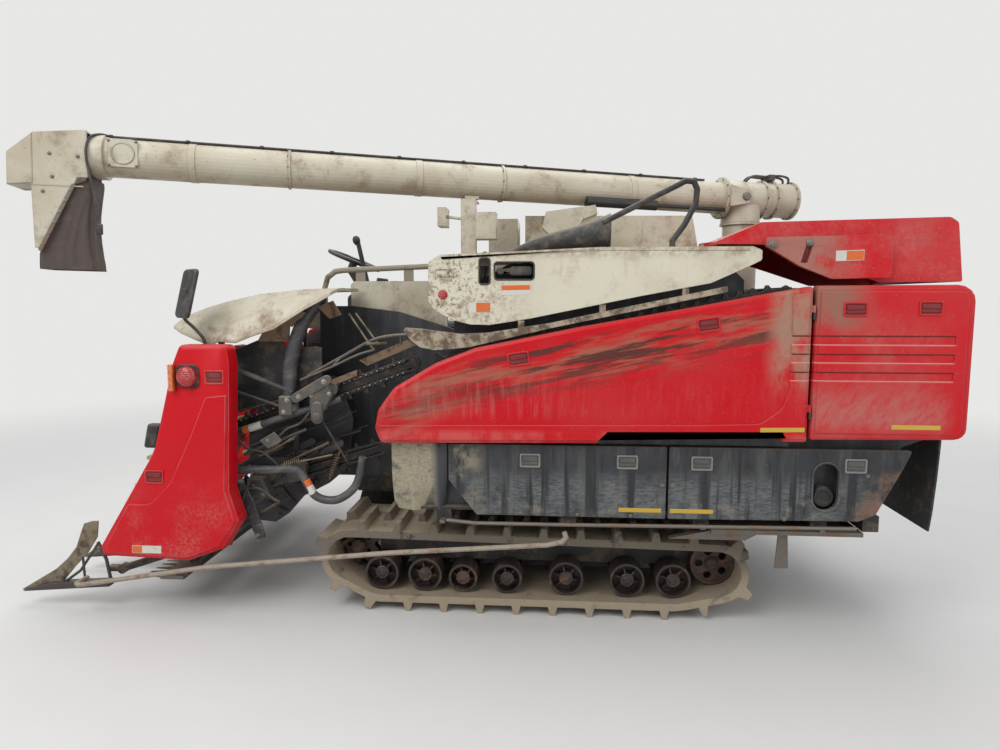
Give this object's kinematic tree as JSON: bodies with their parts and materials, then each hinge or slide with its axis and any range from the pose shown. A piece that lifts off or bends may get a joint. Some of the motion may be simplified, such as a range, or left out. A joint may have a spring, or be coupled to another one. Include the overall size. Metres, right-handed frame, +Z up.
{
  "type": "combine harvester",
  "caption": "Head-feed combine harvester on rubber tracks with a row header on a lift pivot, hinged side doors and an unloading auger that slews and lifts.",
  "frame": {"origin": "on the ground, under the centre of the machine's overall box", "axes": "+X forwards, +Y to the machine's left, +Z up"},
  "size_m": [4.437, 1.9255, 2.312],
  "materials": {
    "track_rubber": "mud coated moulded rubber",
    "frame_paint": "dusty black paint",
    "roller_iron": "rusty",
    "engine_iron": "dusty",
    "case_paint": "dusty dark blue black paint",
    "chain_steel": "oily and rusty",
    "cream_paint": "aged satin cream paint",
    "navy_plastic": "faded and dusty",
    "red_plastic": "faded, scuffed and dusty",
    "black_plastic": "matte",
    "seat_vinyl": "vinyl",
    "flap_rubber": "muddy sheet rubber",
    "bare_steel": "worn and rusty",
    "tine_plastic": "worn",
    "lamp_lens": "clear coloured lens"
  },
  "bodies": {
    "chassis": {"track_left": "track_rubber", "track_right": "track_rubber", "track_frames": "frame_paint", "rollers": "roller_iron", "sprockets": "roller_iron", "idlers": "roller_iron", "transmission": "frame_paint", "chassis_frame": "frame_paint", "lashing_eyes": "frame_paint", "engine": "engine_iron", "threshing_case": "case_paint", "belt_drive": "engine_iron", "feed_chain": "chain_steel", "feed_rail": "cream_paint", "threshing_cover": "cream_paint", "mud_guard": "flap_rubber", "low_cover_front": "navy_plastic", "low_cover_rear": "navy_plastic", "guard_rail": "bare_steel", "straw_chopper": "case_paint", "rear_flap": "flap_rubber", "grain_tank": "cream_paint", "vertical_auger": "cream_paint", "elevator_head": "cream_paint", "dust_duct": "black_plastic", "grab_handle": "black_plastic", "auger_rest": "cream_paint", "platform": "case_paint", "inner_panel": "cream_paint", "engine_cover": "red_plastic", "intake_box": "cream_paint", "seat": "seat_vinyl", "control_tower": "case_paint", "handrail": "bare_steel"},
    "header": {"header_frame": "frame_paint", "header_covers": "red_plastic", "header_top": "cream_paint", "lifter_cases": "red_plastic", "lifter_tines": "tine_plastic", "dividers": "bare_steel", "cutter_bar": "bare_steel", "conveyors": "chain_steel", "header_pipes": "frame_paint", "side_mirror": "black_plastic", "lamps": "lamp_lens", "guide_rod": "bare_steel"},
    "slew_head": {"auger_head": "cream_paint"},
    "boom": {"auger_tube": "cream_paint", "auger_spout": "cream_paint"},
    "door_front": {"side_door_front": "red_plastic"},
    "door_rear": {"side_door_rear": "red_plastic"},
    "hood": {"rear_hood": "red_plastic"},
    "wheel": {"steering_wheel": "black_plastic"}
  },
  "joints": [
    {"name": "header_lift", "type": "hinge", "parent": "chassis", "child": "header", "pos_m": [0.3, 0, 0.82], "axis": [0, -1, 0], "range_deg": [0, 15]},
    {"name": "auger_slew", "type": "hinge", "parent": "chassis", "child": "slew_head", "pos_m": [-1.547, -0.3, 2.126], "axis": [0, 0, 1], "range_deg": [0, 180]},
    {"name": "auger_lift", "type": "hinge", "parent": "slew_head", "child": "boom", "pos_m": [-1.50896, -0.28764, 2.126], "axis": [0.309, -0.9511, 0], "range_deg": [0, 30]},
    {"name": "front_door_swing", "type": "hinge", "parent": "chassis", "child": "door_front", "pos_m": [-1.553, 0.95, 1.24], "axis": [0, 0, 1], "range_deg": [0, 90]},
    {"name": "rear_door_swing", "type": "hinge", "parent": "chassis", "child": "door_rear", "pos_m": [-2.216, 0.89, 1.26], "axis": [0, 0, 1], "range_deg": [0, 90]},
    {"name": "hood_lift", "type": "hinge", "parent": "chassis", "child": "hood", "pos_m": [-1.12, 0.48, 1.78], "axis": [0, 1, 0], "range_deg": [0, 30]},
    {"name": "steering", "type": "hinge", "parent": "chassis", "child": "wheel", "pos_m": [0.858, -0.5, 1.789], "axis": [-0.3746, 0, 0.9272], "range_deg": [-120, 120]}
  ]
}
